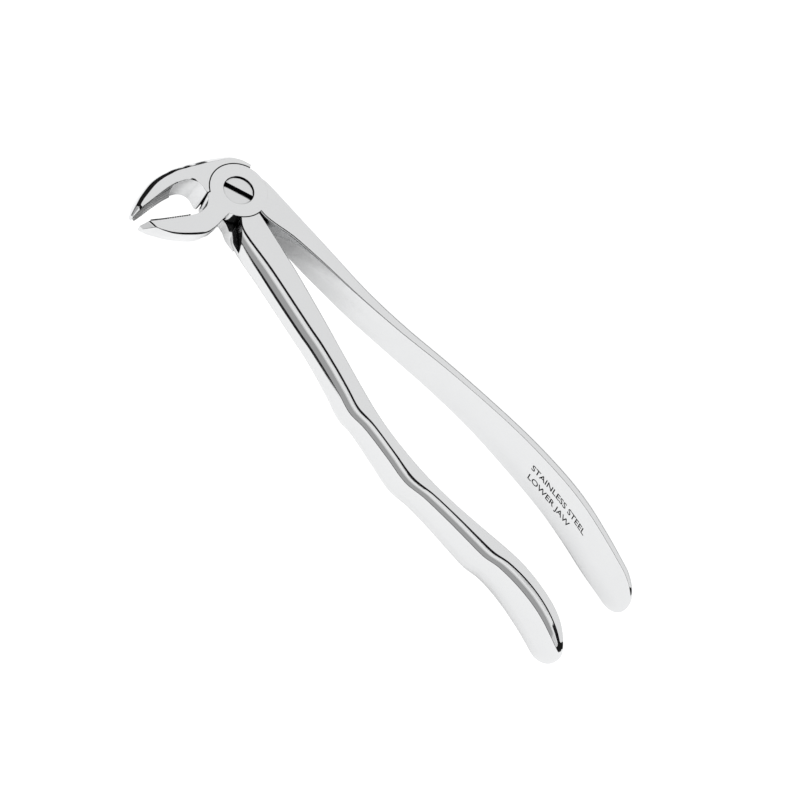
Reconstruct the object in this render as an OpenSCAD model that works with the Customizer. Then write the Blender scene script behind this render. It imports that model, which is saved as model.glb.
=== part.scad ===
// Extraction forceps for lower molars, English pattern.
// Two forged steel members cross in a half-lap box joint and turn on one slotted screw.
// X runs along the handles, Y is the direction the tool opens in, Z is the hinge axis.
// The origin is on the hinge axis, in the plane of the joint's flat back face.

/* [Joint] */
// Thickness of the joint from its back face to its front face
joint_t = 8.8; // [8:0.1:10]
// Radius of each half-lap disc
disc_r = 8.5; // [8:0.1:9]
// Gap between a disc and the seat that it turns in
seat_gap = 0.3; // [0.2:0.05:0.4]
// Gap between the two lapped faces
lap_gap = 0.1; // [0.05:0.05:0.2]

/* [Screw] */
// Radius of the slotted screw head
head_r = 4.5; // [4:0.1:5]
// Thickness of the screw head
head_t = 1.8; // [1.5:0.1:2]
// How far the head lies below the joint's front face
head_sink = 0.6; // [0:0.1:0.8]
// Radius of the plain shank that the front member turns on
shank_r = 3; // [2.6:0.1:3.4]
// Radius of the threaded end in the back member
thread_r = 2.5; // [2:0.1:2.8]
// Running clearance round the shank and the head
run_gap = 0.05; // [0.02:0.01:0.1]
// Width of the driver slot
slot_w = 1.8; // [1:0.1:2]
// Depth of the driver slot
slot_d = 1.1; // [0.8:0.1:1.4]
// Angle of the driver slot from the X axis
slot_turn = 28; // [0:1:180]

/* [Handles] */
// Distance from the hinge to the end of the smooth handle
front_reach = 161.5; // [158:0.5:163]
// Distance from the hinge to the end of the grooved handle
back_reach = 164.5; // [161:0.5:166]
// Length of the rounded end of each handle
end_l = 8.5; // [7:0.5:10]
// How far the tip of each handle is raised towards the front
end_lift = 2.4; // [0:0.1:3]
// Slant of the finger grooves: millimetres along the handle for each millimetre down its side
groove_slant = 0.35; // [0:0.05:0.5]

/* [Beaks] */
// Depth of the hollow along the inside of each beak
hollow = 0.8; // [0.4:0.1:1.2]

/* [Hidden] */
steel = [0.80, 0.81, 0.83];
screw_steel = [0.72, 0.73, 0.75];
half_t = joint_t / 2;
seat_r = disc_r + seat_gap;
past = 1;          // how far a cutting tool runs past the face that it cuts
far = 60;          // larger than anything that a cutting tool has to clear
round_fn = 96;
span = 2.5;        // spacing of the sections along a handle
end_steps = 7;     // sections round a handle's end

// Edges of the smooth handle: [x, y] along its flat inner face, [x, half width in Z],
// [x, width of the narrow flat beside the inner face] and [x, thickness at the crown].
front_in = [[-2, 4.6], [2, 3.4], [9, 1.1], [20, 3.9], [30, 5.5], [45, 7.8], [60, 10.8], [75, 14.2],
            [90, 16.9], [105, 18.6], [121, 19.4], [132, 18.9], [142, 17.6], [152, 16.2], [162, 14.5]];
front_half = [[-2, 4.4], [9, 4.4], [20, 4.8], [30, 5.5], [45, 5.9], [60, 6.1], [75, 6.7], [90, 7.5],
              [105, 8.7], [120, 9.5], [131, 10.1], [142, 10.2], [152, 9.5], [162, 9.0]];
front_flat = [[-2, 2.6], [0, 4.2], [2, 5.5], [9, 8.4], [20, 5.9], [30, 4.4], [45, 2.5], [60, 1.6],
              [90, 1.0], [130, 1.0], [162, 0.8]];
front_crown = [[-2, 3.0], [0, 4.6], [2, 6.0], [9, 9.0], [20, 7.3], [30, 6.3], [45, 5.5], [60, 5.1], [90, 4.8],
               [120, 5.2], [142, 4.4], [162, 3.2]];

// The same for the grooved handle, with the grooves in the outer edge of the narrow flat, and the
// width of the bevel beyond it.
back_in = [[7, 0.9], [9, 0.8], [22, -1.2], [30, -2.4], [45, -5.2], [58, -8.0], [70, -10.5], [80, -12.3],
           [90, -13.1], [101, -12.9], [111, -12.0], [121, -10.4], [131, -8.5], [138, -7.8], [146, -8.1],
           [153, -9.2], [159, -11.3], [164.5, -14.0]];
back_half = [[7, 4.4], [9, 4.4], [20, 4.8], [30, 4.8], [45, 4.8], [60, 5.0], [75, 5.4], [90, 6.1],
             [105, 6.6], [120, 7.4], [131, 7.9], [142, 8.4], [152, 8.6], [164.5, 8.2]];
back_edge = [[7, -4.9], [10, -6.8], [14, -7.6], [25, -8.4], [35, -9.5], [46, -10.8], [51, -11.3],
             [60, -12.8], [67, -14.3], [73, -15.7], [79, -15.4], [90, -16.3], [99, -17.0], [106, -15.4],
             [115, -14.3], [124, -13.5], [130, -12.8], [135, -11.2], [143, -10.5], [151, -11.2],
             [158, -13.0], [164.5, -15.6]];
back_bevel = [[7, 0.9], [12, 1.8], [25, 2.4], [45, 2.4], [70, 2.2], [90, 2.0], [120, 2.2], [142, 2.4],
              [164.5, 1.8]];
bevel_fall = 0.875;  // how far a bevel falls back, as a share of its width
bevel_bend = 0.385;  // share of that fall in the upper half of its width
slant_x = 60;        // where the grooves reach their full slant
slant_end = 25;      // length over which the slant fades out at the handle's end
crown_rise = 0.9;
// Outline of the back member's root behind the front disc, where the handle leaves the joint.
back_root = [[3.9, -7.5], [5.7, -7.7], [8.4, -8.7], [12, -8.9], [12, -4], [4, -4]];

// Beak stations: [inner x, inner y, x and y of the flat front face's outer edge, half width in Z,
// share of the hollow, share of the side's profile, lean of the back face towards the tip].
front_beak = [[-3.0, -4.0, 4.3, -5.0, 4.4, 0, 0.3, 0], [-3.8, -8.3, 4.5, -7.8, 4.4, 0, 0.3, 0],
              [-2.2, -9.8, 4.8, -9.5, 4.4, 0.2, 0.4, 0], [-1.0, -11.2, 5.3, -11.2, 4.4, 0.4, 0.5, 0],
              [-0.4, -13.0, 5.9, -12.9, 4.25, 0.6, 0.7, 0], [-0.3, -14.7, 6.15, -14.7, 4.1, 0.8, 1, 0],
              [-0.7, -16.4, 6.2, -16.4, 3.97, 1, 1, 0], [-1.5, -18.7, 5.6, -18.6, 3.79, 1, 1, 0],
              [-2.5, -21.0, 4.3, -21.0, 3.6, 1, 1, 0], [-3.5, -23.4, 2.6, -23.6, 3.41, 1, 1, 0],
              [-4.4, -25.5, 0.9, -25.6, 3.25, 1, 1, 0], [-5.3, -27.3, -1.0, -27.1, 3.1, 0.8, 0.9, 0],
              [-5.9, -28.8, -2.9, -28.4, 3.0, 0.5, 0.7, 0], [-6.2, -29.9, -4.0, -29.6, 2.1, 0.2, 0.5, 0],
              [-6.6, -31.2, -5.2, -31.0, 1.0, 0, 0.3, 0]];
back_beak = [[-2.0, 5.0, -4.6, 8.6, 4.4, 0, 0.4, 0], [-4.0, 3.5, -7.1, 7.2, 4.4, 0, 0.5, 0],
             [-5.5, 1.5, -9.3, 4.8, 4.4, 0, 0.6, 0], [-6.0, -1.0, -10.5, 1.3, 4.4, 0, 0.8, 0],
             [-5.0, -5.0, -11.6, -2.5, 4.4, 0, 1, 0.6], [-4.1, -8.4, -12.4, -5.6, 4.4, 0, 1, 1.2],
             [-6.2, -8.5, -12.9, -7.3, 4.4, 0.2, 1, 1.0], [-8.0, -8.8, -13.2, -8.8, 4.4, 0.4, 1, 0.6],
             [-9.4, -9.8, -13.7, -10.5, 4.3, 0.6, 1, 0.3], [-10.4, -11.2, -14.0, -12.1, 4.25, 0.8, 1, 0],
             [-11.0, -13.0, -14.1, -13.8, 4.15, 1, 1, 0], [-11.2, -15.2, -14.2, -15.8, 4.05, 1, 1, 0],
             [-11.2, -17.6, -14.1, -18.1, 3.95, 1, 1, 0], [-11.0, -20.2, -13.7, -20.5, 3.8, 1, 1, 0],
             [-10.7, -23.2, -12.8, -23.4, 3.65, 1, 1, 0], [-10.4, -25.9, -11.9, -26.1, 3.5, 0.8, 0.9, 0],
             [-10.2, -28.2, -10.9, -28.3, 3.3, 0.5, 0.8, 0], [-10.0, -29.6, -10.4, -29.7, 2.3, 0.2, 0.6, 0],
             [-9.8, -31.1, -10.1, -31.1, 1.1, 0, 0.35, 0]];
// Profiles of the outer sides: [distance beyond the flat face's edge, height as a share of the half
// width], from the front face to the back face.
front_side = [[-1.2, 1], [-0.4, 0.88], [-0.1, 0.58], [-0.7, 0.1], [-1.4, -0.4], [-2.4, -0.8], [-3.6, -1]];
back_side = [[0, 1], [1.7, 0.76], [2.35, 0.4], [2.5, -0.1], [2.1, -0.6], [1.4, -0.9], [0.4, -1]];
// Outlines, seen along Z, of the relief behind the front beak's root, which clears the grooved
// handle as the tool opens, and of the scoop in the grooved handle that the front beak swings into.
beak_relief = [[0.5, -8], [0.6, -8.8], [2, -10.1], [4, -12], [6, -13.4], [9, -13.4], [9, -6]];
root_scoop = [[6, -5], [7.3, -5.1], [9, -6.3], [11.5, -8.1], [15, -10.9], [15, -12.5], [6, -12.5]];

// Height at x of a smooth curve through the points p.
function place(p, x, i = 0) = i >= len(p) - 2 || x < p[i + 1][0] ? i : place(p, x, i + 1);
function slope(p, i) =
    let (a = max(i - 1, 0), b = min(i + 1, len(p) - 1))
    (p[b][1] - p[a][1]) / (p[b][0] - p[a][0]);
function curve(p, x) =
    let (i = place(p, x), h = p[i + 1][0] - p[i][0], t = (x - p[i][0]) / h)
    (2 * t ^ 3 - 3 * t ^ 2 + 1) * p[i][1] + (t ^ 3 - 2 * t ^ 2 + t) * h * slope(p, i)
    + (3 * t ^ 2 - 2 * t ^ 3) * p[i + 1][1] + (t ^ 3 - t ^ 2) * h * slope(p, i + 1);

// Where the sections of a handle lie, close together round its end.
function stations(start, reach) = concat(
    [for (x = [start : span : reach - end_l - span / 2]) x],
    [for (k = [0 : end_steps]) reach - end_l + end_l * sin(84 * k / end_steps)]);
// How much of its width a handle keeps at x, as its end rounds off.
function round_off(x, reach) =
    let (t = max(0, (x - reach + end_l) / end_l)) sqrt(1 - t * t);

// One closed section of the smooth handle: a flat inner face, two narrow flats and a crown.
function front_section(x) =
    let (k = round_off(x, front_reach), y = curve(front_in, x), w = k * curve(front_half, x),
         f = k * curve(front_flat, x), c = k * curve(front_crown, x), up = end_lift * (1 - k))
    concat([[x, y, up - w], [x, y, up + w], [x, y + f, up + w]],
           [for (a = [75 : -25 : -75]) [x, y + f + (c - f) * cos(a), up + w * sin(a)]],
           [[x, y + f, up - w]]);

// Distance from the grooved handle's inner face to its outer edge at x, at a depth below the front.
function groove(x, depth) =
    let (slant = groove_slant * min(1, x / slant_x, (back_reach - x) / slant_end))
    curve(back_in, x) - curve(back_edge, min(back_reach, x + slant * depth));

// One closed section of the grooved handle: flat inner face, narrow flats, bent bevels and a crown.
function back_section(x) =
    let (k = round_off(x, back_reach), y = curve(back_in, x), w = k * curve(back_half, x),
         b = k * curve(back_bevel, x), d = bevel_fall * b, c = k * crown_rise, up = end_lift * (1 - k),
         profile = [[0, w], [0, -w], [k * groove(x, 2 * w), -w],
                    [k * groove(x, 2 * w - d / 2) + b / 2, bevel_bend * d - w],
                    [k * groove(x, 2 * w - d) + b, d - w],
                    [k * groove(x, 1.5 * w) + b + c * 0.75, (d - w) / 2], [k * groove(x, w) + b + c, 0],
                    [k * groove(x, w / 2) + b + c * 0.75, (w - d) / 2], [k * groove(x, d) + b, w - d],
                    [k * groove(x, d / 2) + b / 2, w - bevel_bend * d], [k * groove(x, 0), w]])
    [for (q = profile) [x, y - q[0], q[1] + up]];

// One closed section of a beak, in the upright plane through its inner and outer edges: the hollow
// inner side, a flat front face, the outer side's profile and a flat back face.
function beak_section(s, side) =
    let (a = [s[0], s[1]], reach = [s[2], s[3]] - a, flat = norm(reach), out = reach / flat, w = s[4],
         profile = concat([for (t = [-1, -0.6, 0, 0.6, 1]) [hollow * s[5] * (1 - t * t), t]],
                          [for (p = side) [flat + s[6] * p[0], p[1]]]))
    [for (q = profile) [a[0] + out[0] * q[0], a[1] + out[1] * q[0] - s[7] * (1 - q[1]) / 2, w * q[1]]];

// Middle of a section.
function middle(ring) = [for (k = [0 : 2]) sum([for (q = ring) q[k]]) / len(ring)];
function sum(v, i = 0) = i == len(v) ? 0 : v[i] + sum(v, i + 1);

// A closed solid through a list of sections that have the same number of points. Its faces point
// outwards where the points run clockwise as seen from the first section's side, or flip is true.
module loft(sections, flip = false) {
    n = len(sections[0]);
    last = len(sections) - 1;
    rings = [for (s = sections) for (j = [0 : n - 1]) s[flip ? n - 1 - j : j]];
    sides = [for (i = [0 : last - 1]) for (j = [0 : n - 1])
        let (a = i * n + j, b = i * n + (j + 1) % n)
        each [[a, a + n, b], [b, a + n, b + n]]];
    first_cap = [for (j = [0 : n - 1]) [len(rings), j, (j + 1) % n]];
    last_cap = [for (j = [0 : n - 1]) [len(rings) + 1, last * n + (j + 1) % n, last * n + j]];
    polyhedron(concat(rings, [middle(sections[0]), middle(sections[last])]),
               concat(sides, first_cap, last_cap));
}

module disc(r, z0, z1) translate([0, 0, z0]) cylinder(r = r, h = z1 - z0, $fn = round_fn);

module upright(outline, z0, z1) translate([0, 0, z0]) linear_extrude(z1 - z0) polygon(outline);

module front_member() color(steel) translate([0, 0, half_t]) difference() {
    union() {
        loft([for (x = stations(-2, front_reach)) front_section(x)], flip = true);
        loft([for (s = front_beak) beak_section(s, front_side)], flip = true);
        disc(disc_r, lap_gap / 2, half_t);
    }
    disc(seat_r, -half_t - past, lap_gap / 2);
    upright(beak_relief, -half_t - past, lap_gap / 2);
    disc(shank_r + run_gap, -past, half_t + past);
    disc(head_r + run_gap, half_t - head_sink - head_t - run_gap, half_t + past);
}

module back_member() color(steel) translate([0, 0, half_t]) difference() {
    union() {
        loft([for (x = stations(7, back_reach)) back_section(x)], flip = true);
        loft([for (s = back_beak) beak_section(s, back_side)]);
        disc(disc_r, -half_t, -lap_gap / 2);
        upright(back_root, -half_t, -lap_gap / 2);
    }
    disc(seat_r, -lap_gap / 2, half_t + past);
    upright(root_scoop, -lap_gap / 2, half_t + past);
    disc(thread_r, -half_t - past, past);
}

module pivot_screw() color(screw_steel) translate([0, 0, half_t]) difference() {
    top = half_t - head_sink;
    union() {
        disc(thread_r, -half_t, 0);
        disc(shank_r, -lap_gap / 2, top - head_t / 2);
        disc(head_r, top - head_t, top);
    }
    rotate(slot_turn) translate([-far / 2, -slot_w / 2, top - slot_d]) cube([far, slot_w, slot_d + past]);
}

front_member();
back_member();
pivot_screw();
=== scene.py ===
"""Extraction forceps for lower molars: polished steel members, pivot screw, jaw teeth and studio."""
import math

import bpy
from bpy.props import (FloatProperty, FloatVectorProperty, IntProperty, PointerProperty,
                       StringProperty)
from mathutils import Matrix, Vector


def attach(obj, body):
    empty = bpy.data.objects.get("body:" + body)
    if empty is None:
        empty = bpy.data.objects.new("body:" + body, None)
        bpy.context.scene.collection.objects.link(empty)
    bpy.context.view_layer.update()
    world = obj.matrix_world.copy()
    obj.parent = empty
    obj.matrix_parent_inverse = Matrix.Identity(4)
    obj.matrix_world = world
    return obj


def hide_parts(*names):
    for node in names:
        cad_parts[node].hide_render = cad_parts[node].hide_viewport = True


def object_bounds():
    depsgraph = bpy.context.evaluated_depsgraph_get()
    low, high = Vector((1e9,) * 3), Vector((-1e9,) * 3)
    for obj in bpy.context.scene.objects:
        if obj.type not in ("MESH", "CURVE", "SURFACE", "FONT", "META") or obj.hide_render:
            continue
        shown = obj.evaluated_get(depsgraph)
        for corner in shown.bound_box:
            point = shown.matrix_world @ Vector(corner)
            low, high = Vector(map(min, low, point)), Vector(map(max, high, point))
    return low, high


bl_info = {
    "name": "Extraction forceps",
    "version": (1, 0, 0),
    "blender": (4, 5, 0),
    "location": "3D View > Sidebar > Forceps",
    "description": "Builds the finished look of a pair of extraction forceps round its packed frame",
    "category": "Object",
}

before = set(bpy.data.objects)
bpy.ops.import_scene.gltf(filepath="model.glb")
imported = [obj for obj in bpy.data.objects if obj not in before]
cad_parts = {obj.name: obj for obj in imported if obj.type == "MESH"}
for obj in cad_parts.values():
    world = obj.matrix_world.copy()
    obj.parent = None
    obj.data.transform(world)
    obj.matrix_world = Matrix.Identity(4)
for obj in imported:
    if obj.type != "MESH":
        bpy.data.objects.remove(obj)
CAD_LOW, CAD_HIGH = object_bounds()

MM = 0.001
HALF_T = 4.4                                      # half the joint's thickness, in millimetres
DISC_R, SEAT_R = 8.5, 8.8
LAP = 0.05                                        # each lapped face's gap to the middle
HEAD_R, HEAD_T, HEAD_SINK, SHANK_R, THREAD_R, RUN_GAP = 4.5, 1.8, 0.6, 3.0, 2.5, 0.05
SLOT_W, SLOT_D = 1.8, 1.1
FRONT_REACH, BACK_REACH, END_L, END_LIFT = 161.5, 164.5, 8.5, 2.4
BEVEL_TILT, CROWN_RISE, HOLLOW, GROOVE_SLANT = 0.875, 0.9, 0.8, 0.35
# The bend's share of a bevel's fall; lengths over which the grooves' slant grows and fades.
BEVEL_BEND, SLANT_X, SLANT_END = 0.385, 60, 25
# Sections at a handle's rounded end: number of steps and the angle in degrees that they cover.
END_STEPS, END_SWEEP = 28, 88.5

# Edges of the handles, [x, value] in millimetres from the hinge axis and the joint's middle plane.
FRONT_IN = [(-2, 4.6), (2, 3.4), (9, 1.1), (20, 3.9), (30, 5.5), (45, 7.8), (60, 10.8), (75, 14.2),
            (90, 16.9), (105, 18.6), (121, 19.4), (132, 18.9), (142, 17.6), (152, 16.2),
            (162, 14.5)]
FRONT_HALF = [(-2, 4.4), (9, 4.4), (20, 4.8), (30, 5.5), (45, 5.9), (60, 6.1), (75, 6.7),
              (90, 7.5),
              (105, 8.7), (120, 9.5), (131, 10.1), (142, 10.2), (152, 9.5), (162, 9.0)]
FRONT_FLAT = [(-2, 2.6), (0, 4.2), (2, 5.5), (9, 8.4), (20, 5.9), (30, 4.4), (45, 2.5), (60, 1.6),
              (90, 1.0), (130, 1.0), (162, 0.8)]
FRONT_CROWN = [(-2, 3.0), (0, 4.6), (2, 6.0), (9, 9.0), (20, 7.3), (30, 6.3), (45, 5.5), (60, 5.1),
               (90, 4.8), (120, 5.2), (142, 4.4), (162, 3.2)]
BACK_IN = [(7, 0.9), (9, 0.8), (22, -1.2), (30, -2.4), (45, -5.2), (58, -8.0), (70, -10.5),
           (80, -12.3), (90, -13.1), (101, -12.9), (111, -12.0), (121, -10.4), (131, -8.5),
           (138, -7.8), (146, -8.1), (153, -9.2), (159, -11.3), (164.5, -14.0)]
BACK_HALF = [(7, 4.4), (9, 4.4), (20, 4.8), (30, 4.8), (45, 4.8), (60, 5.0), (75, 5.4), (90, 6.1),
             (105, 6.6), (120, 7.4), (131, 7.9), (142, 8.4), (152, 8.6), (164.5, 8.2)]
BACK_EDGE = [(7, -4.9), (10, -6.8), (14, -7.6), (25, -8.4), (35, -9.5), (46, -10.8), (51, -11.3),
             (60, -12.8), (67, -14.3), (73, -15.7), (79, -15.4), (90, -16.3), (99, -17.0),
             (106, -15.4), (115, -14.3), (124, -13.5), (130, -12.8), (135, -11.2), (143, -10.5),
             (151, -11.2), (158, -13.0), (164.5, -15.6)]
BACK_BEVEL = [(7, 0.9), (12, 1.8), (25, 2.4), (45, 2.4), (70, 2.2), (90, 2.0), (120, 2.2),
              (142, 2.4), (164.5, 1.8)]

# Beak stations: x and y of the inner edge, x and y of the flat face's outer edge, half width,
# radius of that outer edge, share of the hollow, share of the side's profile, lean of the back
# towards the tip.
FRONT_BEAK = [(-3.0, -4.0, 4.3, -5.0, 4.4, 0.3, 0, 0.3, 0),
              (-3.8, -8.3, 4.5, -7.8, 4.4, 0.3, 0, 0.3, 0),
              (-2.2, -9.8, 4.8, -9.5, 4.4, 0.35, 0.2, 0.4, 0),
              (-1.0, -11.2, 5.3, -11.2, 4.4, 0.5, 0.4, 0.5, 0),
              (-0.4, -13.0, 5.9, -12.9, 4.25, 0.8, 0.6, 0.7, 0),
              (-0.3, -14.7, 6.15, -14.7, 4.1, 1.1, 0.8, 1, 0),
              (-0.7, -16.4, 6.2, -16.4, 3.97, 1.3, 1, 1, 0),
              (-1.5, -18.7, 5.6, -18.6, 3.79, 1.4, 1, 1, 0),
              (-2.5, -21.0, 4.3, -21.0, 3.6, 1.4, 1, 1, 0),
              (-3.5, -23.4, 2.6, -23.6, 3.41, 1.3, 1, 1, 0),
              (-4.4, -25.5, 0.9, -25.6, 3.25, 1.1, 1, 1, 0),
              (-5.3, -27.3, -1.0, -27.1, 3.1, 0.8, 0.8, 0.9, 0),
              (-5.9, -28.8, -2.9, -28.4, 3.0, 0.4, 0.5, 0.7, 0),
              (-6.2, -29.9, -4.0, -29.6, 2.1, 0.3, 0.2, 0.5, 0),
              (-6.6, -31.2, -5.2, -31.0, 1.0, 0.3, 0, 0.3, 0)]
BACK_BEAK = [(-2.0, 5.0, -4.6, 8.6, 4.4, 0.3, 0, 0.4, 0),
             (-4.0, 3.5, -7.1, 7.2, 4.4, 0.3, 0, 0.5, 0),
             (-5.5, 1.5, -9.3, 4.8, 4.4, 0.3, 0, 0.6, 0),
             (-6.0, -1.0, -10.5, 1.3, 4.4, 0.4, 0, 0.8, 0),
             (-5.0, -5.0, -11.6, -2.5, 4.4, 0.6, 0, 1, 0.6),
             (-4.1, -8.4, -12.4, -5.6, 4.4, 0.8, 0, 1, 1.2),
             (-6.2, -8.5, -12.9, -7.3, 4.4, 0.8, 0.2, 1, 1.0),
             (-8.0, -8.8, -13.2, -8.8, 4.4, 0.8, 0.4, 1, 0.6),
             (-9.4, -9.8, -13.7, -10.5, 4.3, 0.8, 0.6, 1, 0.3),
             (-10.4, -11.2, -14.0, -12.1, 4.25, 0.7, 0.8, 1, 0),
             (-11.0, -13.0, -14.1, -13.8, 4.15, 0.6, 1, 1, 0),
             (-11.2, -15.2, -14.2, -15.8, 4.05, 0.6, 1, 1, 0),
             (-11.2, -17.6, -14.1, -18.1, 3.95, 0.5, 1, 1, 0),
             (-11.0, -20.2, -13.7, -20.5, 3.8, 0.5, 1, 1, 0),
             (-10.7, -23.2, -12.8, -23.4, 3.65, 0.5, 1, 1, 0),
             (-10.4, -25.9, -11.9, -26.1, 3.5, 0.4, 0.8, 0.9, 0),
             (-10.2, -28.2, -10.9, -28.3, 3.3, 0.3, 0.5, 0.8, 0),
             (-10.0, -29.6, -10.4, -29.7, 2.3, 0.2, 0.2, 0.6, 0),
             (-9.8, -31.1, -10.1, -31.1, 1.1, 0.2, 0, 0.35, 0)]
# Outer side of each beak below the flat face's edge: distance beyond it, share of the depth, radius.
FRONT_SIDE = [(-0.9, 0.5, 2.0), (-2.2, 1.0, 2.2)]
BACK_SIDE = [(1.7, 0.12, 2.0), (2.5, 0.55, 1.6), (1.1, 1.0, 1.4)]
BACK_ROOT = [(3.9, -7.5), (5.7, -7.7), (8.4, -8.7), (12, -8.9), (12, -4), (4, -4)]
BEAK_RELIEF = [(0.5, -8), (0.6, -8.8), (2, -10.1), (4, -12), (6, -13.4), (9, -13.4), (9, -6)]
ROOT_SCOOP = [(6, -5), (7.3, -5.1), (9, -6.3), (11.5, -8.1), (15, -10.9), (15, -12.5), (6, -12.5)]
TEETH = {"front": (6.6, 11.6), "back": (10.6, 16.4)}     # first and last beak station with teeth


# ---------------------------------------------------------------- sections and closed solids

def curve(points, x):
    """Height at x of a smooth curve through points."""
    i = 0
    while i < len(points) - 2 and x >= points[i + 1][0]:
        i += 1

    def slope(j):
        a, b = max(j - 1, 0), min(j + 1, len(points) - 1)
        return (points[b][1] - points[a][1]) / (points[b][0] - points[a][0])

    h = points[i + 1][0] - points[i][0]
    t = (x - points[i][0]) / h
    return ((2 * t ** 3 - 3 * t ** 2 + 1) * points[i][1] + (t ** 3 - 2 * t ** 2 + t) * h * slope(i)
            + (3 * t ** 2 - 2 * t ** 3) * points[i + 1][1] + (t ** 3 - t ** 2) * h * slope(i + 1))


def blended(stations, u):
    """The station at u, a whole number at each listed one, on a smooth curve through them."""
    rows = list(zip(*stations))
    return [curve(list(enumerate(row)), u) for row in rows]


def filleted(corners):
    """Outline through corners (a, b, radius, steps), each rounded on an arc of its radius."""
    out = []
    n = len(corners)
    for i, (a, b, radius, steps) in enumerate(corners):
        here = Vector((a, b))
        if steps < 2:
            out.append((a, b))
            continue
        back = Vector(corners[i - 1][:2]) - here
        ahead = Vector(corners[(i + 1) % n][:2]) - here
        half = back.angle(ahead, math.pi) / 2
        cut = min(radius / math.tan(half), 0.48 * back.length, 0.48 * ahead.length)
        arc_r = cut * math.tan(half)
        p, q = here + back.normalized() * cut, here + ahead.normalized() * cut
        bisector = (back.normalized() + ahead.normalized()).normalized()
        centre = here + bisector * (arc_r / math.sin(half))
        u, v = p - centre, q - centre
        turn = u.angle_signed(v, 0.0)
        for k in range(steps):
            spun = u.copy()
            spun.rotate(Matrix.Rotation(-turn * k / (steps - 1), 2))
            out.append(tuple(centre + spun))
    return out


def run(a, b, count):
    """count points evenly between a and b, without its ends, as unrounded corners."""
    return [(a[0] + (b[0] - a[0]) * k / (count + 1), a[1] + (b[1] - a[1]) * k / (count + 1), 0, 1)
            for k in range(1, count + 1)]


def keep(x, reach):
    """Share of its width that a handle keeps at x, as its end rounds off."""
    t = max(0.0, (x - reach + END_L) / END_L)
    return math.sqrt(max(0.0, 1 - t * t))


def handle_stations(start, reach, spacing):
    straight = int((reach - END_L - start) / spacing)
    xs = [start + (reach - END_L - start) * k / straight for k in range(straight)]
    return xs + [reach - END_L + END_L * math.sin(math.radians(END_SWEEP * k / END_STEPS))
                 for k in range(END_STEPS + 1)]


def lift(k):
    """How far a handle's section is raised where only a share k of its width is left."""
    return END_LIFT * (1 - k)


def front_handle_section(x, edge_r):
    k = keep(x, FRONT_REACH)
    y, w = curve(FRONT_IN, x), k * curve(FRONT_HALF, x)
    f, c = k * curve(FRONT_FLAT, x), k * curve(FRONT_CROWN, x)
    corners = [(0, -w, k * edge_r, 7)] + run((0, -w), (0, w), 5) + [(0, w, k * edge_r, 7)]
    corners += run((0, w), (f, w), 3)
    corners += [(f + (c - f) * math.cos(a), w * math.sin(a), 0, 1)
                for a in [math.radians(90 - 5 * j) for j in range(37)]]
    corners += run((f, -w), (0, -w), 3)
    return [(x, y + a, b + lift(k)) for a, b in filleted(corners)]


def back_handle_section(x, edge_r, ridge_r):
    k = keep(x, BACK_REACH)
    inner, w = curve(BACK_IN, x), k * curve(BACK_HALF, x)
    b, c = k * curve(BACK_BEVEL, x), k * CROWN_RISE
    d = BEVEL_TILT * b
    side = w - d

    def outer(z):
        """Depth of the grooved edge at height z; the grooves slant towards the joint."""
        slant = GROOVE_SLANT * min(1, x / SLANT_X, (BACK_REACH - x) / SLANT_END)
        slanted = min(BACK_REACH, x + slant * (w - z))
        return k * (inner - curve(BACK_EDGE, slanted))

    top, low = outer(w), outer(-w)
    corners = [(0, w, k * edge_r, 7)] + run((0, w), (0, -w), 5) + [(0, -w, k * edge_r, 7)]
    corners += run((0, -w), (low, -w), 3) + [(low, -w, k * ridge_r, 9)]
    corners += [(outer(d / 2 - w) + b / 2, BEVEL_BEND * d - w, k * 3, 5),
                (outer(-side) + b, -side, k * 0.8, 7)]
    corners += [(outer(side * t) + b + c * (1 - t * t), side * t, 0, 1)
                for t in [-0.8 + 0.1 * j for j in range(17)]]
    corners += [(outer(side) + b, side, k * 0.8, 7),
                (outer(w - d / 2) + b / 2, w - BEVEL_BEND * d, k * 3, 5)]
    corners += [(top, w, k * ridge_r, 9)] + run((top, w), (0, w), 3)
    return [(x, inner - a, z + lift(k)) for a, z in filleted(corners)]


def beak_section(station, side, edge_r):
    ax, ay, bx, by, w, crease_r, hollow, share, lean = station
    flat = math.hypot(bx - ax, by - ay)
    ux, uy = (bx - ax) / flat, (by - ay) / flat
    dip = HOLLOW * hollow
    corners = [(0, -w, edge_r, 4)]
    corners += [(dip * (1 - t * t), w * t, 0, 1) for t in [-0.9 + 0.15 * j for j in range(13)]]
    corners += [(0, w, edge_r, 4)] + run((0, w), (flat, w), 2) + [(flat, w, crease_r, 13)]
    corners += [(flat + share * out, w * (1 - 2 * deep), share * radius, 9)
                for out, deep, radius in side]
    corners += run((flat + share * side[-1][0], -w), (0, -w), 2)
    return [(ax + ux * a, ay + uy * a - lean * (w - z) / (2 * w), z) for a, z in filleted(corners)]


def outward(mesh):
    """Turns a closed mesh's faces outwards, by the sign of its volume."""
    volume = 0.0
    mesh.calc_loop_triangles()
    for tri in mesh.loop_triangles:
        a, b, c = (mesh.vertices[i].co for i in tri.vertices)
        volume += a.dot(b.cross(c))
    if volume < 0:
        mesh.flip_normals()
    return mesh


def solid(name, verts, faces):
    """A closed object from points in millimetres about the joint's middle plane."""
    mesh = bpy.data.meshes.new(name)
    mesh.from_pydata([(x * MM, y * MM, (z + HALF_T) * MM) for x, y, z in verts], [], faces)
    outward(mesh).validate()
    obj = bpy.data.objects.new(name, mesh)
    bpy.context.scene.collection.objects.link(obj)
    return obj


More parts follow.
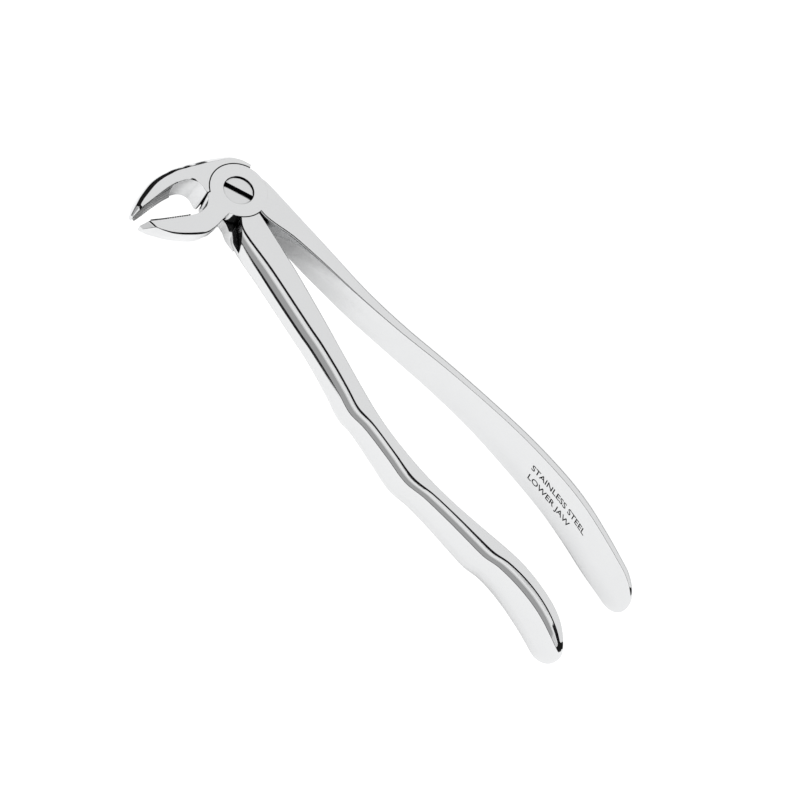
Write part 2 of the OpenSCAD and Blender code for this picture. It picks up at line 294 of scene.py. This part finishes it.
def loft(name, rings):
    """A closed solid through rings that have the same number of points."""
    n = len(rings[0])
    verts = [p for ring in rings for p in ring]
    faces = [(i * n + j, i * n + (j + 1) % n, (i + 1) * n + (j + 1) % n, (i + 1) * n + j)
             for i in range(len(rings) - 1) for j in range(n)]
    for ring, flip in ((0, False), (len(rings) - 1, True)):
        middle = [sum(p[k] for p in rings[ring]) / n for k in range(3)]
        verts.append(middle)
        fan = [(ring * n + (j + 1) % n, ring * n + j, len(verts) - 1) for j in range(n)]
        faces += [face[::-1] for face in fan] if flip else fan
    return solid(name, verts, faces)


def turned(name, profile, sides=160):
    """A closed solid turned about the hinge axis from (radius, height) pairs, from bottom to top."""
    rings = [[(r * math.cos(2 * math.pi * j / sides), r * math.sin(2 * math.pi * j / sides), z)
              for j in range(sides)] for r, z in profile]
    return loft(name, rings)


def upright(name, outline, z0, z1):
    """A closed solid between two heights, with its outline seen along the hinge axis."""
    return loft(name, [[(x, y, z0) for x, y in outline], [(x, y, z1) for x, y in outline]])


def eased(radius, z0, z1, ease):
    """Profile of a disc whose two rims are eased by a small arc."""
    arc = [math.radians(15 * k) for k in range(7)]
    low = [(radius - ease + ease * math.sin(a), z0 + ease - ease * math.cos(a)) for a in arc]
    high = [(radius - ease + ease * math.cos(a), z1 - ease + ease * math.sin(a)) for a in arc]
    return low + high


def flared(radius, z0, z1, ease):
    """Profile of a cutting tool that eases the rim of the hole that it cuts up to z1."""
    arc = [math.radians(15 * k) for k in range(7)]
    rim = [(radius + ease - ease * math.cos(a), z1 - ease + ease * math.sin(a)) for a in arc]
    return [(radius, z0)] + rim + [(radius + ease, z1 + 1)]


def carve(base, operation, tools):
    """Joins solids to base, or cuts them from it, one after the other."""
    for tool in tools:
        step = base.modifiers.new("carve", "BOOLEAN")
        step.operation, step.solver, step.object = operation, "MANIFOLD", tool
        shaped = bpy.data.meshes.new_from_object(
            base.evaluated_get(bpy.context.evaluated_depsgraph_get()))
        base.modifiers.remove(step)
        old, base.data = base.data, shaped
        bpy.data.meshes.remove(old)
        bpy.data.objects.remove(tool)
    return base


def polish_mesh(obj, crease):
    """Smooth shading that keeps flats flat and corners sharper than crease."""
    mesh = obj.data
    mesh.validate()
    mesh.shade_smooth()
    mesh.set_sharp_from_angle(angle=math.radians(crease))
    weigh = obj.modifiers.new("weigh", "WEIGHTED_NORMAL")
    weigh.keep_sharp, weigh.weight, weigh.mode = True, 80, "FACE_AREA_WITH_ANGLE"
    graph = bpy.context.evaluated_depsgraph_get()
    baked = bpy.data.meshes.new_from_object(obj.evaluated_get(graph),
                                            preserve_all_data_layers=True,
                                            depsgraph=graph)
    obj.modifiers.remove(weigh)
    old, obj.data = obj.data, baked
    bpy.data.meshes.remove(old)
    return obj


def finish_piece(obj, material, slot, body, *nodes):
    obj.data.materials.clear()
    obj.data.materials.append(material)
    if nodes:
        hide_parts(*nodes)
    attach(obj, body)


# ---------------------------------------------------------------- materials

def steel_material(name, settings, grain_turn, darker=1.0):
    """Polished steel: fine polishing lines along the piece, faint clouding and soft wear, and painted
    shade that darkens slots, gaps and the roots of teeth.
    """
    material = bpy.data.materials.new(name)
    material.use_nodes = True
    nodes, links = material.node_tree.nodes, material.node_tree.links
    nodes.clear()
    out = nodes.new("ShaderNodeOutputMaterial")
    shader = nodes.new("ShaderNodeBsdfPrincipled")
    links.new(shader.outputs["BSDF"], out.inputs["Surface"])
    shader.inputs["Metallic"].default_value = 1.0
    place = nodes.new("ShaderNodeTexCoord")
    along = nodes.new("ShaderNodeMapping")
    along.inputs["Rotation"].default_value = (0, 0, math.radians(grain_turn))
    along.inputs["Scale"].default_value = (120, 2600, 2600)
    links.new(place.outputs["Object"], along.inputs["Vector"])
    grain = nodes.new("ShaderNodeTexNoise")
    grain.inputs["Scale"].default_value = 1.0
    grain.inputs["Detail"].default_value = 3.0
    links.new(along.outputs["Vector"], grain.inputs["Vector"])
    cloud = nodes.new("ShaderNodeTexNoise")
    cloud.inputs["Scale"].default_value = 90.0
    cloud.inputs["Detail"].default_value = 4.0
    links.new(place.outputs["Object"], cloud.inputs["Vector"])
    # Roughness: the polish, broken up by the grain and by clouding from handling.
    mixed = nodes.new("ShaderNodeMath")
    mixed.operation = "MULTIPLY"
    links.new(grain.outputs["Fac"], mixed.inputs[0])
    links.new(cloud.outputs["Fac"], mixed.inputs[1])
    gloss = nodes.new("ShaderNodeMapRange")
    gloss.inputs["From Min"].default_value, gloss.inputs["From Max"].default_value = 0.1, 0.45
    gloss.inputs["To Min"].default_value = settings.roughness * 0.75
    gloss.inputs["To Max"].default_value = settings.roughness * 1.35
    links.new(mixed.outputs["Value"], gloss.inputs["Value"])
    links.new(gloss.outputs["Result"], shader.inputs["Roughness"])
    # Colour: a very slight change of tone with the clouding.
    tone = nodes.new("ShaderNodeMixRGB")
    base = [c * darker for c in settings.steel]
    tone.inputs["Color1"].default_value = (*[c * 0.97 for c in base], 1)
    tone.inputs["Color2"].default_value = (*base, 1)
    links.new(cloud.outputs["Fac"], tone.inputs["Fac"])
    # Painted shade: the base colour is darkened towards black where ambient occlusion finds slots,
    # gaps and the roots of teeth.
    reach = nodes.new("ShaderNodeAmbientOcclusion")
    reach.samples = 8
    reach.inputs["Distance"].default_value = 0.0016
    shade = nodes.new("ShaderNodeMapRange")
    shade.interpolation_type = "SMOOTHSTEP"
    shade.inputs["From Min"].default_value, shade.inputs["From Max"].default_value = 0.4, 0.85
    links.new(reach.outputs["AO"], shade.inputs["Value"])
    painted_gap_shade = nodes.new("ShaderNodeMixRGB")
    painted_gap_shade.inputs["Color1"].default_value = (0.004, 0.004, 0.0045, 1)
    links.new(shade.outputs["Result"], painted_gap_shade.inputs["Fac"])
    links.new(tone.outputs["Color"], painted_gap_shade.inputs["Color2"])
    links.new(painted_gap_shade.outputs["Color"], shader.inputs["Base Color"])
    bump = nodes.new("ShaderNodeBump")
    bump.inputs["Strength"].default_value = settings.grain
    bump.inputs["Distance"].default_value = 0.000004
    links.new(grain.outputs["Fac"], bump.inputs["Height"])
    links.new(bump.outputs["Normal"], shader.inputs["Normal"])
    return material


def etched_material(name, colour):
    """Dark oxide left by laser marking, slightly uneven."""
    material = bpy.data.materials.new(name)
    material.use_nodes = True
    nodes, links = material.node_tree.nodes, material.node_tree.links
    shader = nodes["Principled BSDF"]
    shader.inputs["Specular IOR Level"].default_value = 0.1
    place = nodes.new("ShaderNodeTexCoord")
    speckle = nodes.new("ShaderNodeTexNoise")
    speckle.inputs["Scale"].default_value = 3000.0
    links.new(place.outputs["Object"], speckle.inputs["Vector"])
    tone = nodes.new("ShaderNodeMixRGB")
    tone.inputs["Color1"].default_value = (*[c * 0.5 for c in colour], 1)
    tone.inputs["Color2"].default_value = (*[c * 1.5 for c in colour], 1)
    links.new(speckle.outputs["Fac"], tone.inputs["Fac"])
    links.new(tone.outputs["Color"], shader.inputs["Base Color"])
    shader.inputs["Roughness"].default_value = 0.55
    return material


# ---------------------------------------------------------------- settings

class ForcepsSteel(bpy.types.PropertyGroup):
    """Finish of the steel."""
    steel: FloatVectorProperty(name="Steel", description="Colour of the polished steel", size=3,
                               subtype="COLOR", min=0, max=1, default=(0.70, 0.705, 0.71))
    roughness: FloatProperty(name="Roughness", description="Roughness of the polish",
                             default=0.075,
                             min=0.02, max=0.6, subtype="FACTOR")
    grain: FloatProperty(name="Grain", description="Strength of the polishing lines", default=0.12,
                         min=0, max=1, subtype="FACTOR")
    edge_ease: FloatProperty(name="Edge ease",
                             description="Radius of the eased edges of the joint",
                             default=0.06 * MM, unit="LENGTH")
    handle_edge: FloatProperty(name="Handle edge",
                               description="Radius of the handles' inner edges",
                               default=0.7 * MM, unit="LENGTH")
    ridge_edge: FloatProperty(name="Ridge edge", default=1.6 * MM, unit="LENGTH",
                              description="Radius of the ridge that the finger grooves run along")
    spacing: FloatProperty(name="Section spacing",
                           description="Distance between a handle's sections",
                           default=0.6 * MM, unit="LENGTH")


class ForcepsTeeth(bpy.types.PropertyGroup):
    """Cross-cut teeth inside the beaks."""
    pitch: FloatProperty(name="Pitch", description="Distance from tooth to tooth",
                         default=0.65 * MM,
                         unit="LENGTH")
    height: FloatProperty(name="Height", description="How far a tooth stands proud",
                          default=0.32 * MM,
                          unit="LENGTH")
    columns: IntProperty(name="Columns", description="Teeth side by side across a beak",
                         default=10)


class ForcepsMarking(bpy.types.PropertyGroup):
    """Generic marking on the smooth handle."""
    line_1: StringProperty(name="First line", description="Upper line", default="STAINLESS STEEL")
    line_2: StringProperty(name="Second line", description="Lower line", default="LOWER JAW")
    height: FloatProperty(name="Letter height", description="Height of a capital letter",
                          default=2.3 * MM, unit="LENGTH")
    ink: FloatVectorProperty(name="Etched tone", description="Colour of the etched marks", size=3,
                             subtype="COLOR", min=0, max=1, default=(0.006, 0.006, 0.007))


class ForcepsStudio(bpy.types.PropertyGroup):
    """Floor, lights and camera."""
    view_width: FloatProperty(name="View width", description="Width that the camera sees",
                              default=224.09 * MM, unit="LENGTH")
    distance: FloatProperty(name="Distance", description="Camera to the front face's plane",
                            default=1.245, unit="LENGTH")
    floor_glow: FloatProperty(name="Floor glow",
                              description="Brightness of the floor that the steel mirrors",
                              default=1.1)
    surround: FloatProperty(name="Surround", description="Light from the dark surroundings",
                            default=0.015)


# ---------------------------------------------------------------- operators

class FORCEPS_OT_front_member(bpy.types.Operator):
    """Smooth handle and front beak, with the front half of the joint"""
    bl_idname = "forceps.front_member"
    bl_label = "Front member"

    def execute(self, context):
        s = context.scene.forceps_steel
        ease = s.edge_ease / MM
        xs = handle_stations(-2, FRONT_REACH, s.spacing / MM)
        handle = loft("front_member_forging",
                      [front_handle_section(x, s.handle_edge / MM) for x in xs])
        beak = loft("beak", [beak_section(blended(FRONT_BEAK, k / 8), FRONT_SIDE, 0.12)
                             for k in range(8 * (len(FRONT_BEAK) - 1) + 1)])
        disc = turned("disc", eased(DISC_R, LAP, HALF_T, ease))
        carve(handle, "UNION", [disc, beak])
        carve(handle, "DIFFERENCE", [
            turned("seat", [(SEAT_R, -HALF_T - 1), (SEAT_R, LAP)]),
            upright("relief", BEAK_RELIEF, -HALF_T - 1, LAP),
            turned("bore", [(SHANK_R + RUN_GAP, -1), (SHANK_R + RUN_GAP, HALF_T - 1.5)]),
            turned("pocket",
                   flared(HEAD_R + RUN_GAP, HALF_T - HEAD_SINK - HEAD_T - RUN_GAP, HALF_T,
                                    ease))])
        polish_mesh(handle, 32)
        finish_piece(handle, steel_material("front_polished_steel", s, 0), "front_steel",
                     "front_half", "front_member")
        return {"FINISHED"}


class FORCEPS_OT_back_member(bpy.types.Operator):
    """Grooved handle and back beak, with the back half of the joint"""
    bl_idname = "forceps.back_member"
    bl_label = "Back member"

    def execute(self, context):
        s = context.scene.forceps_steel
        ease = s.edge_ease / MM
        xs = handle_stations(7, BACK_REACH, s.spacing / MM)
        handle = loft("back_member_forging",
                      [back_handle_section(x, s.handle_edge / MM, s.ridge_edge / MM) for x in xs])
        beak = loft("beak", [beak_section(blended(BACK_BEAK, k / 8), BACK_SIDE, 0.12)
                             for k in range(8 * (len(BACK_BEAK) - 1) + 1)])
        disc = turned("disc", eased(DISC_R, -HALF_T, -LAP, ease))
        root = upright("root", BACK_ROOT, -HALF_T, -LAP)
        carve(handle, "UNION", [disc, beak, root])
        carve(handle, "DIFFERENCE", [
            turned("seat", flared(SEAT_R, -LAP, HALF_T, ease)),
            upright("scoop", ROOT_SCOOP, -LAP, HALF_T + 1),
            turned("thread", [(THREAD_R, -HALF_T - 1), (THREAD_R, 1)])])
        polish_mesh(handle, 32)
        finish_piece(handle, steel_material("back_polished_steel", s, 0), "back_steel",
                     "back_half", "back_member")
        return {"FINISHED"}


class FORCEPS_OT_screw(bpy.types.Operator):
    """Slotted pivot screw"""
    bl_idname = "forceps.screw"
    bl_label = "Pivot screw"

    def execute(self, context):
        s = context.scene.forceps_steel
        ease = s.edge_ease / MM
        top = HALF_T - HEAD_SINK
        head = eased(HEAD_R, top - HEAD_T, top, ease)
        body = turned("screw_turned", [(THREAD_R, -HALF_T), (THREAD_R, -LAP), (SHANK_R, -LAP),
                                       (SHANK_R, top - HEAD_T)] + head)
        turn = math.radians(28)
        half_w, far = SLOT_W / 2, HEAD_R + 2
        slot = [(math.cos(turn) * a - math.sin(turn) * b, math.sin(turn) * a + math.cos(turn) * b)
                for a, b in ((-far, -half_w), (far, -half_w), (far, half_w), (-far, half_w))]
        carve(body, "DIFFERENCE", [upright("slot", slot, top - SLOT_D, top + 1)])
        polish_mesh(body, 32)
        finish_piece(body, steel_material("screw_turned_steel", s, 28, 0.95), "screw_steel",
                     "back_half", "pivot_screw")
        return {"FINISHED"}


def tooth_tree(material):
    """Sets a four-sided tooth on every point of a patch, square to it."""
    tree = bpy.data.node_groups.new("JawTeeth", "GeometryNodeTree")
    face = tree.interface
    face.new_socket("Geometry", in_out="INPUT", socket_type="NodeSocketGeometry")
    width = face.new_socket("Tooth width", in_out="INPUT", socket_type="NodeSocketFloat")
    height = face.new_socket("Tooth height", in_out="INPUT", socket_type="NodeSocketFloat")
    face.new_socket("Geometry", in_out="OUTPUT", socket_type="NodeSocketGeometry")
    nodes, links = tree.nodes, tree.links
    given, result = nodes.new("NodeGroupInput"), nodes.new("NodeGroupOutput")
    tooth = nodes.new("GeometryNodeMeshCone")
    tooth.fill_type = "NGON"
    tooth.inputs["Vertices"].default_value = 4
    tooth.inputs["Radius Top"].default_value = 0.0
    links.new(given.outputs["Tooth width"], tooth.inputs["Radius Bottom"])
    links.new(given.outputs["Tooth height"], tooth.inputs["Depth"])
    square = nodes.new("GeometryNodeTransform")
    square.inputs["Rotation"].default_value = (0, 0, math.radians(45))
    links.new(tooth.outputs["Mesh"], square.inputs["Geometry"])
    normal = nodes.new("GeometryNodeInputNormal")
    stand = nodes.new("FunctionNodeAlignRotationToVector")
    stand.axis = "Z"
    links.new(normal.outputs["Normal"], stand.inputs["Vector"])
    square_up = nodes.new("FunctionNodeAlignRotationToVector")
    square_up.axis, square_up.pivot_axis = "Y", "Z"
    square_up.inputs["Vector"].default_value = (0, 0, 1)
    links.new(stand.outputs["Rotation"], square_up.inputs["Rotation"])
    place = nodes.new("GeometryNodeInstanceOnPoints")
    links.new(given.outputs["Geometry"], place.inputs["Points"])
    links.new(square.outputs["Geometry"], place.inputs["Instance"])
    links.new(square_up.outputs["Rotation"], place.inputs["Rotation"])
    real = nodes.new("GeometryNodeRealizeInstances")
    links.new(place.outputs["Instances"], real.inputs["Geometry"])
    finish = nodes.new("GeometryNodeSetMaterial")
    finish.inputs["Material"].default_value = material
    links.new(real.outputs["Geometry"], finish.inputs["Geometry"])
    links.new(finish.outputs["Geometry"], result.inputs["Geometry"])
    return tree, width.identifier, height.identifier


def tooth_patch(name, stations, first, last, rows, columns):
    """The hollow inner side of a beak as a grid, one point for each tooth."""
    verts = []
    for i in range(rows):
        ax, ay, bx, by, w, _, hollow, _, _ = blended(stations,
                                                     first + (last - first) * i / (rows - 1))
        reach = math.hypot(bx - ax, by - ay)
        for j in range(columns):
            t = -1 + 2 * j / (columns - 1)
            a = HOLLOW * hollow * (1 - t * t)
            verts.append((ax + (bx - ax) / reach * a, ay + (by - ay) / reach * a, w * t))
    faces = [(i * columns + j, i * columns + j + 1, (i + 1) * columns + j + 1,
              (i + 1) * columns + j)
             for i in range(rows - 1) for j in range(columns - 1)]
    mesh = bpy.data.meshes.new(name)
    mesh.from_pydata([(x * MM, y * MM, (z + HALF_T) * MM) for x, y, z in verts], [], faces)
    middle = mesh.vertices[len(verts) // 2]
    opening = Vector((-7.5 * MM, middle.co.y, middle.co.z)) - middle.co
    if middle.normal.dot(opening) < 0:
        mesh.flip_normals()
    obj = bpy.data.objects.new(name, mesh)
    bpy.context.scene.collection.objects.link(obj)
    return obj


class FORCEPS_OT_teeth(bpy.types.Operator):
    """Cross-cut teeth inside both beaks"""
    bl_idname = "forceps.teeth"
    bl_label = "Jaw teeth"

    def execute(self, context):
        s, t = context.scene.forceps_steel, context.scene.forceps_teeth
        # The teeth's steel is painted at 0.35 of the steel's brightness: painted shade for the hollow
        # between the beaks.
        material = steel_material("cross_cut_shaded_steel", s, 0, 0.35)
        tree, width_id, height_id = tooth_tree(material)
        for side, stations, slot, body in (("front", FRONT_BEAK, "front_steel", "front_half"),
                                           ("back", BACK_BEAK, "back_steel", "back_half")):
            first, last = TEETH[side]
            ends = [blended(stations, u) for u in (first, last)]
            length = math.dist(ends[0][:2], ends[1][:2])
            rows = round(length * MM / t.pitch) + 1
            patch = tooth_patch(f"{side}_jaw_teeth", stations, first, last, rows, t.columns)
            grow = patch.modifiers.new("teeth", "NODES")
            grow.node_group = tree
            grow[width_id] = t.pitch * 0.66
            grow[height_id] = t.height
            teeth = bpy.data.meshes.new_from_object(
                patch.evaluated_get(context.evaluated_depsgraph_get()))
            patch.modifiers.remove(grow)
            patch.data = teeth
            if not teeth.polygons:
                raise RuntimeError("the jaw teeth came out empty")
            finish_piece(patch, material, slot, body)
        return {"FINISHED"}


class FORCEPS_OT_marking(bpy.types.Operator):
    """Generic etched marking on the inner face of the smooth handle"""
    bl_idname = "forceps.marking"
    bl_label = "Etched marking"

    def execute(self, context):
        m = context.scene.forceps_marking
        material = etched_material("etched_oxide", m.ink)
        for name, words, middle_x, z in (("marking_upper", m.line_1, 124.5, 1.9),
                                         ("marking_lower", m.line_2, 121.8, -2.5)):
            data = bpy.data.curves.new(name, "FONT")
            data.body, data.size = words, m.height / 0.7
            data.align_x, data.align_y = "CENTER", "CENTER"
            data.resolution_u, data.offset = 3, 0.01 * data.size
            text = bpy.data.objects.new(name + "_text", data)
            context.scene.collection.objects.link(text)
            mesh = bpy.data.meshes.new_from_object(
                text.evaluated_get(context.evaluated_depsgraph_get()))
            bpy.data.objects.remove(text)
            for v in mesh.vertices:
                x = middle_x + v.co.x / MM
                v.co = (x * MM, (curve(FRONT_IN, x) - 0.02) * MM, (HALF_T + z) * MM + v.co.y)
            obj = bpy.data.objects.new(name, mesh)
            context.scene.collection.objects.link(obj)
            if obj.data.polygons[0].normal.y > 0:
                mesh.flip_normals()
            finish_piece(obj, material, "front_steel", "front_half")
        return {"FINISHED"}


def light(name, size_x, size_y, power, place, aim):
    data = bpy.data.lights.new(name, "AREA")
    data.shape, data.size, data.size_y, data.energy = "RECTANGLE", size_x, size_y, power
    obj = bpy.data.objects.new(name, data)
    obj.location = place
    obj.rotation_euler = (Vector(aim) - Vector(place)).to_track_quat("-Z", "Y").to_euler()
    obj.visible_camera = False
    bpy.context.scene.collection.objects.link(obj)
    return obj


class FORCEPS_OT_stage(bpy.types.Operator):
    """Pale floor, soft lights and camera"""
    bl_idname = "forceps.stage"
    bl_label = "Stage"

    def execute(self, context):
        s = context.scene.forceps_studio
        low = CAD_LOW.z - 0.0002
        mesh = bpy.data.meshes.new("floor")
        far = 6.0
        mesh.from_pydata([(-far, -far, low), (far, -far, low), (far, far, low), (-far, far, low)],
                         [],
                         [(0, 1, 2, 3)])
        floor = bpy.data.objects.new("floor", mesh)
        context.scene.collection.objects.link(floor)
        pale = bpy.data.materials.new("pale_floor")
        pale.use_nodes = True
        shader = pale.node_tree.nodes["Principled BSDF"]
        shader.inputs["Base Color"].default_value = (0.3, 0.3, 0.3, 1)
        shader.inputs["Roughness"].default_value = 1.0
        shader.inputs["Specular IOR Level"].default_value = 0.0
        shader.inputs["Emission Color"].default_value = (1, 1, 1, 1)
        nodes, links = pale.node_tree.nodes, pale.node_tree.links
        # Contact shading: the floor that the steel mirrors is darker close under the tool.
        open_floor = nodes.new("ShaderNodeAmbientOcclusion")
        open_floor.samples = 8
        open_floor.inputs["Distance"].default_value = 0.014
        mirrored = nodes.new("ShaderNodeMapRange")
        mirrored.interpolation_type = "SMOOTHSTEP"
        mirrored.inputs["From Min"].default_value, mirrored.inputs["From Max"].default_value = 0.3, 0.6
        mirrored.inputs["To Min"].default_value = 0.03
        mirrored.inputs["To Max"].default_value = s.floor_glow
        links.new(open_floor.outputs["AO"], mirrored.inputs["Value"])
        direct = nodes.new("ShaderNodeLightPath")
        glow = nodes.new("ShaderNodeMix")
        links.new(direct.outputs["Is Camera Ray"], glow.inputs["Factor"])
        links.new(mirrored.outputs["Result"], glow.inputs["A"])
        glow.inputs["B"].default_value = 1.0
        links.new(glow.outputs["Result"], shader.inputs["Emission Strength"])
        floor.data.materials.append(pale)

        world = bpy.data.worlds.new("studio")
        context.scene.world = world
        world.use_nodes = True
        nodes, links = world.node_tree.nodes, world.node_tree.links
        back = nodes["Background"]
        back.inputs["Color"].default_value = (1, 1, 1, 1)
        seen = nodes.new("ShaderNodeLightPath")
        level = nodes.new("ShaderNodeMapRange")
        level.inputs["To Min"].default_value = s.surround
        level.inputs["To Max"].default_value = 1.0
        links.new(seen.outputs["Is Camera Ray"], level.inputs["Value"])
        links.new(level.outputs["Result"], back.inputs["Strength"])

        middle = Vector((0.07, 0, 0))
        # One broad panel behind, and a front one in three strips that fade towards the horizon.
        for name, direction, size, glow in (
                ("back_panel", (0.0, 0.69, 0.68), (3.4, 2.1), 1.0),
                ("front_strip_high", (-0.19, -0.64, 0.74), (3.0, 0.31), 1.1),
                ("front_strip_middle", (-0.22, -0.77, 0.60), (3.2, 0.31), 0.8),
                ("front_strip_low", (-0.25, -0.86, 0.44), (3.4, 0.31), 0.45)):
            place = middle + Vector(direction).normalized() * 1.6
            light(name, size[0], size[1], glow * math.pi * size[0] * size[1], place, middle)

        right = Vector((0.6145, 0.7293, 0.3012))
        up = Vector((-0.7522, 0.4259, 0.5028))
        toward = Vector((0.2384, -0.5356, 0.8103))
        aim = Vector((0.0767, -0.0026, 2 * HALF_T * MM))
        data = bpy.data.cameras.new("camera")
        data.type, data.ortho_scale = "ORTHO", s.view_width
        data.clip_end = 50
        camera = bpy.data.objects.new("camera", data)
        context.scene.collection.objects.link(camera)
        turn = Matrix((right, up, toward)).transposed().to_4x4()
        camera.matrix_world = Matrix.Translation(aim + toward * s.distance) @ turn
        context.scene.camera = camera
        context.scene.view_settings.view_transform = "Standard"
        context.scene.view_settings.look = "None"
        return {"FINISHED"}


class FORCEPS_PT_panel(bpy.types.Panel):
    """Forceps settings and steps"""
    bl_idname = "FORCEPS_PT_panel"
    bl_label = "Extraction forceps"
    bl_space_type = "VIEW_3D"
    bl_region_type = "UI"
    bl_category = "Forceps"

    def draw(self, context):
        for group in GROUPS:
            settings = getattr(context.scene, group)
            for name in settings.bl_rna.properties.keys():
                if name not in ("rna_type", "name"):
                    self.layout.prop(settings, name)
        for step in STEPS:
            self.layout.operator(step.bl_idname)


STEPS = (FORCEPS_OT_stage, FORCEPS_OT_front_member, FORCEPS_OT_back_member, FORCEPS_OT_screw,
         FORCEPS_OT_teeth, FORCEPS_OT_marking)
GROUPS = {"forceps_steel": ForcepsSteel, "forceps_teeth": ForcepsTeeth,
          "forceps_marking": ForcepsMarking, "forceps_studio": ForcepsStudio}


def register():
    for cls in (*GROUPS.values(), *STEPS, FORCEPS_PT_panel):
        bpy.utils.register_class(cls)
    for name, group in GROUPS.items():
        setattr(bpy.types.Scene, name, PointerProperty(type=group))


def unregister():
    for name in GROUPS:
        delattr(bpy.types.Scene, name)
    for cls in reversed((*GROUPS.values(), *STEPS, FORCEPS_PT_panel)):
        bpy.utils.unregister_class(cls)


def main():
    register()
    bpy.ops.forceps.stage()
    bpy.ops.forceps.front_member()
    bpy.ops.forceps.back_member()
    bpy.ops.forceps.screw()
    bpy.ops.forceps.teeth()
    bpy.ops.forceps.marking()


if __name__ == "__main__":
    main()
